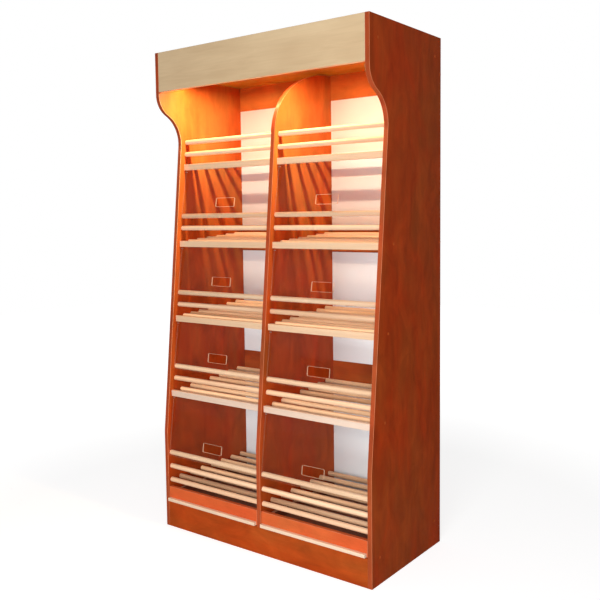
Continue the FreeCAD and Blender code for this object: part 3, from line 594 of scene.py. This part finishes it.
# ---- finish of every part ------------------------------------------------------------------------
MATERIALS = {
    "dark_laminate": laminate("dark_laminate", CHERRY_RED, CHERRY_BROWN, axis="Z", depth=1.0,
                              raw_edges=True),
    "drawer_laminate": laminate("drawer_laminate", DRAWER_RED, DRAWER_BROWN, axis="X", depth=0.5,
                                raw_edges=False),
    "warm_laminate": laminate("warm_laminate", WARM_RED, WARM_BROWN, axis="X", depth=1.0,
                              raw_edges=False),
    "edge_band": edge_band(),
    "white_sheet": white_sheet(),
    "light_veneer": birch_veneer(),
    "beech_rod": solid_wood("beech_rod", BEECH_DARK, BEECH_LIGHT, flecks=0.80, gloss=0.36),
    "beech_bar": solid_wood("beech_bar", BAR_DARK, BAR_LIGHT, flecks=0.84, gloss=0.38),
    "drawer_wood": dark_plywood(),
    "hardboard": brown_hardboard(),
    "steel": metal("steel", STEEL, stretch=(6.0, 300.0, 300.0), roughness=0.32),
    "aluminium": metal("aluminium", ALUMINIUM, stretch=(4.0, 500.0, 500.0), roughness=0.35),
    "led_board": led_board(),
    "opal_diffuser": opal_diffuser(),
    "white_plastic": moulded("white_plastic", CAP_WHITE, roughness=0.45, grain=FINEST),
    "black_rubber": moulded("black_rubber", RUBBER, roughness=0.75, grain=MEDIUM),
    "brown_cap": moulded("brown_cap", CAP_BROWN, roughness=0.45, grain=FINEST, gloss=0.1),
}
SHELF_RODS = solid_wood("beech_shelf_rod", SHELF_DARK, SHELF_LIGHT, flecks=0.80, gloss=0.36,
                        pitch=0.033, variety=0.70)
# painted warm light on the upper bars
GOLDEN_BARS = solid_wood("beech_golden_bar", GOLD_DARK, GOLD_LIGHT, flecks=0.84, gloss=0.38)
# painted light on the pulls
PALE_PULLS = solid_wood("beech_pull", PULL_DARK, PULL_LIGHT, flecks=0.88, gloss=0.38)
# the drawer fronts' arrises get a painted highlight, the fascia's a tone of their own
ARRIS_MATERIALS = {"drawer_laminate": arris_material("drawer_laminate_arris", DRAWER_ARRIS_HIGHLIGHT),
        "light_veneer": arris_material("light_veneer_arris", BIRCH_ARRIS)}
FLAP_FINISHES = (clear_pane(), cut_edge("acrylic_rim", RIM_SHOWS), cut_edge("acrylic_edge", EDGE_SHOWS))

GOLDEN = ("shelf_bar_a", "shelf_bar_b", "shelf_bar_c")      # the bars higher up, in a deeper golden tone than the lowest: painted warm light
LIT_FENCES = ("fence_rods_d", "fence_rods_e")               # the fences that the light from above reaches
BOARD_SLOTS = ("dark_laminate", "drawer_laminate", "warm_laminate", "edge_band")


def finish_of(name):
    """The material of a CAD part: its slot's, or one of its own."""
    if name.startswith("shelf_rods"):
        return SHELF_RODS
    if name in GOLDEN:
        return GOLDEN_BARS
    if name.startswith("drawer_pull"):
        return PALE_PULLS
    return MATERIALS[SLOT_OF[name]]


def dressed(name, node):
    """Give a part its finish, and return the piece that shows."""
    if SLOT_OF[name] == "clear_acrylic":
        return flap(name)
    if SLOT_OF[name] in ARRIS_MATERIALS:
        return front_board(name)
    node.data.materials.clear()
    node.data.materials.append(finish_of(name))
    return node


PIECES = {name: dressed(name, node) for name, node in NODES.items()}


# ---- what each light falls on --------------------------------------------------------------------
def gathered(label, chosen):
    """A collection of the pieces whose names are chosen, for the lights."""
    collection = bpy.data.collections.new(label)
    for name, piece in PIECES.items():
        if chosen(name):
            collection.objects.link(piece)
    return collection


def only_on(lamps, collection):
    """Let lights shine on nothing but what a collection holds."""
    for lamp in lamps:
        lamp.light_linking.receiver_collection = collection


def leave_out(lamps, collection):
    """Let lights shine on everything but what a collection holds."""
    for entry in collection.collection_objects:
        entry.light_linking.link_state = "EXCLUDE"
    only_on(lamps, collection)


def is_sheet(name):
    """True for a sheet of the white back."""
    return SLOT_OF[name] == "white_sheet"


# The partition's band would come out too pale in the light on the boards, so it isn't one of them. The
# white back is in two collections: sheets takes lights of its own, and left_out keeps others off it.
boards = gathered("boards", lambda name: SLOT_OF[name] in BOARD_SLOTS and name != "edge_band_partition")
sheets = gathered("sheets", is_sheet)
shelves = gathered("shelves", lambda name: name.startswith("shelf_rods"))
fences = gathered("fences", lambda name: name in LIT_FENCES)
overhead = gathered("overhead", lambda name: name == "ceiling_board")
left_out = gathered("white_back_left_out", is_sheet)


# ---- floor, light and camera ---------------------------------------------------------------------
def floor():
    """Plain pale floor that fades into the backdrop."""
    mesh = bmesh.new()
    bmesh.ops.create_grid(mesh, x_segments=1, y_segments=1, size=FLOOR_HALF)
    data = bpy.data.meshes.new("floor")
    mesh.to_mesh(data)
    mesh.free()
    piece = bpy.data.objects.new("floor", data)
    bpy.context.scene.collection.objects.link(piece)
    g = Graph("floor")
    away = g.node("VectorMath", {0: g.place}, output="Value", operation="LENGTH")
    lift = g.ramp(away, *FLOOR_RINGS, to_low=FLOOR_LIFT, to_high=BACKDROP)
    seen = g.node("LightPath", {}, output="Is Camera Ray")
    g.surface(Base_Color=FLOOR_GREY, Roughness=0.9, Emission_Color=WHITE,
              Emission_Strength=g.maths("MULTIPLY", lift, seen))
    data.materials.append(g.material)
    return piece


def surroundings():
    """White backdrop for the camera, and a soft even light on the object."""
    world = bpy.data.worlds.new("studio")
    bpy.context.scene.world = world
    world.use_nodes = True
    nodes, links = world.node_tree.nodes, world.node_tree.links
    seen, light = nodes.new("ShaderNodeBackground"), nodes["Background"]
    for background, strength in ((seen, BACKDROP), (light, AMBIENT)):
        background.inputs["Color"].default_value = (*WHITE, 1.0)
        background.inputs["Strength"].default_value = strength
    mix = nodes.new("ShaderNodeMixShader")
    links.new(nodes.new("ShaderNodeLightPath").outputs["Is Camera Ray"], mix.inputs[0])
    links.new(light.outputs[0], mix.inputs[1])
    links.new(seen.outputs[0], mix.inputs[2])
    links.new(mix.outputs[0], nodes["World Output"].inputs["Surface"])


def area_light(name, place, aim, size, watts, colour=WHITE):
    """A rectangular light at place that points at aim, with its first side level."""
    data = bpy.data.lights.new(name, "AREA")
    data.shape = "RECTANGLE"
    data.size, data.size_y = size
    data.energy = watts
    data.color = colour
    lamp = bpy.data.objects.new(name, data)
    bpy.context.scene.collection.objects.link(lamp)
    lamp.location = place
    lamp.rotation_euler = (Vector(aim) - Vector(place)).to_track_quat("-Z", "Y").to_euler()
    return lamp


def studio(ground):
    """Key and low light, the white back's two fills, the rods' light from above, and the rear light."""
    key = area_light("key", KEY_PLACE, KEY_AIM, KEY_SIZE, KEY_WATTS)
    low = area_light("low", LOW_PLACE, LOW_AIM, LOW_SIZE, LOW_WATTS)
    low.visible_glossy = False
    leave_out((key, low), left_out)
    fill = area_light("fill", FILL_PLACE, FILL_AIM, FILL_SIZE, FILL_WATTS, FILL_COLOUR)
    high = area_light("high_fill", HIGH_PLACE, HIGH_AIM, HIGH_SIZE, HIGH_WATTS, HIGH_COLOUR)
    high.data.spread = HIGH_SPREAD
    only_on((fill, high), sheets)
    for rods, watts in ((shelves, SHELF_WATTS), (fences, FENCE_WATTS)):
        above = area_light("above_" + rods.name, ABOVE_PLACE, ABOVE_AIM, ABOVE_SIZE, watts, ABOVE_COLOUR)
        only_on((above,), rods)
    rear = area_light("rear", REAR_PLACE, REAR_AIM, REAR_SIZE, REAR_WATTS)
    rear.visible_glossy = False
    underfoot = bpy.data.collections.new("left_out_by_the_rear_light")
    underfoot.objects.link(ground)
    leave_out((rear,), underfoot)


def column(side):
    """Where a column begins and ends along X, between the faces of its boards."""
    panel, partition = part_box("side_panel_" + side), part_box("partition")
    if side == "left":
        return panel[1].x, partition[0].x
    return partition[1].x, panel[0].x


def canopy_glow():
    """The lamp's light, set apart for the white back, for the boards and for everything but that back,
    and what comes back up to the ceiling board."""
    low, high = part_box("lamp_diffuser")
    place = Vector(((low.x + high.x) / 2, (low.y + high.y) / 2, low.z - GLOW_DROP))
    size = (high.x - low.x, GLOW_WIDTH)
    down = Vector((0, 0, -1))
    glow = area_light("canopy_glow", place, place + down, size, GLOW_WATTS, GLOW_COLOUR)
    leave_out((glow,), left_out)
    on_back = area_light("sheet_glow", place, place + down, size, SHEET_GLOW_WATTS, SHEET_GLOW_COLOUR)
    only_on((on_back,), sheets)
    for side in ("left", "right"):
        inner, outer = column(side)
        middle = Vector(((inner + outer) / 2, place.y, place.z))
        length = outer - inner - 2 * BOARD_GLOW_INSET
        on_boards = area_light("board_glow_" + side, middle, middle + down, (length, GLOW_WIDTH),
                               BOARD_GLOW_WATTS, BOARD_GLOW_COLOUR)
        only_on((on_boards,), boards)
    ground = Vector((place.x, place.y, BOUNCE_HEIGHT))
    bounce = area_light("canopy_bounce", ground, place, BOUNCE_SIZE, BOUNCE_WATTS, BOUNCE_COLOUR)
    only_on((bounce,), overhead)


def camera():
    """The camera, from its place, its three angles and the middle of its picture."""
    sight = Vector((-math.sin(CAMERA_YAW) * math.cos(CAMERA_PITCH),
                    math.cos(CAMERA_YAW) * math.cos(CAMERA_PITCH), math.sin(CAMERA_PITCH)))
    level = Vector((math.cos(CAMERA_YAW), math.sin(CAMERA_YAW), 0.0))
    upright = level.cross(sight)
    right = math.cos(CAMERA_ROLL) * level + math.sin(CAMERA_ROLL) * upright
    up = -math.sin(CAMERA_ROLL) * level + math.cos(CAMERA_ROLL) * upright
    data = bpy.data.cameras.new("camera")
    data.sensor_width = SENSOR_MM
    data.lens = SENSOR_MM * FOCAL_PX / FRAME_PX
    data.shift_y = (HORIZON_PX - FRAME_PX / 2) / FRAME_PX
    eye = bpy.data.objects.new("camera", data)
    bpy.context.scene.collection.objects.link(eye)
    turn = Matrix((right, up, -sight)).transposed().to_4x4()
    eye.matrix_world = Matrix.Translation(CAMERA_PLACE) @ turn
    bpy.context.scene.camera = eye


surroundings()
studio(floor())
canopy_glow()
camera()
bpy.context.scene.view_settings.view_transform = "Standard"
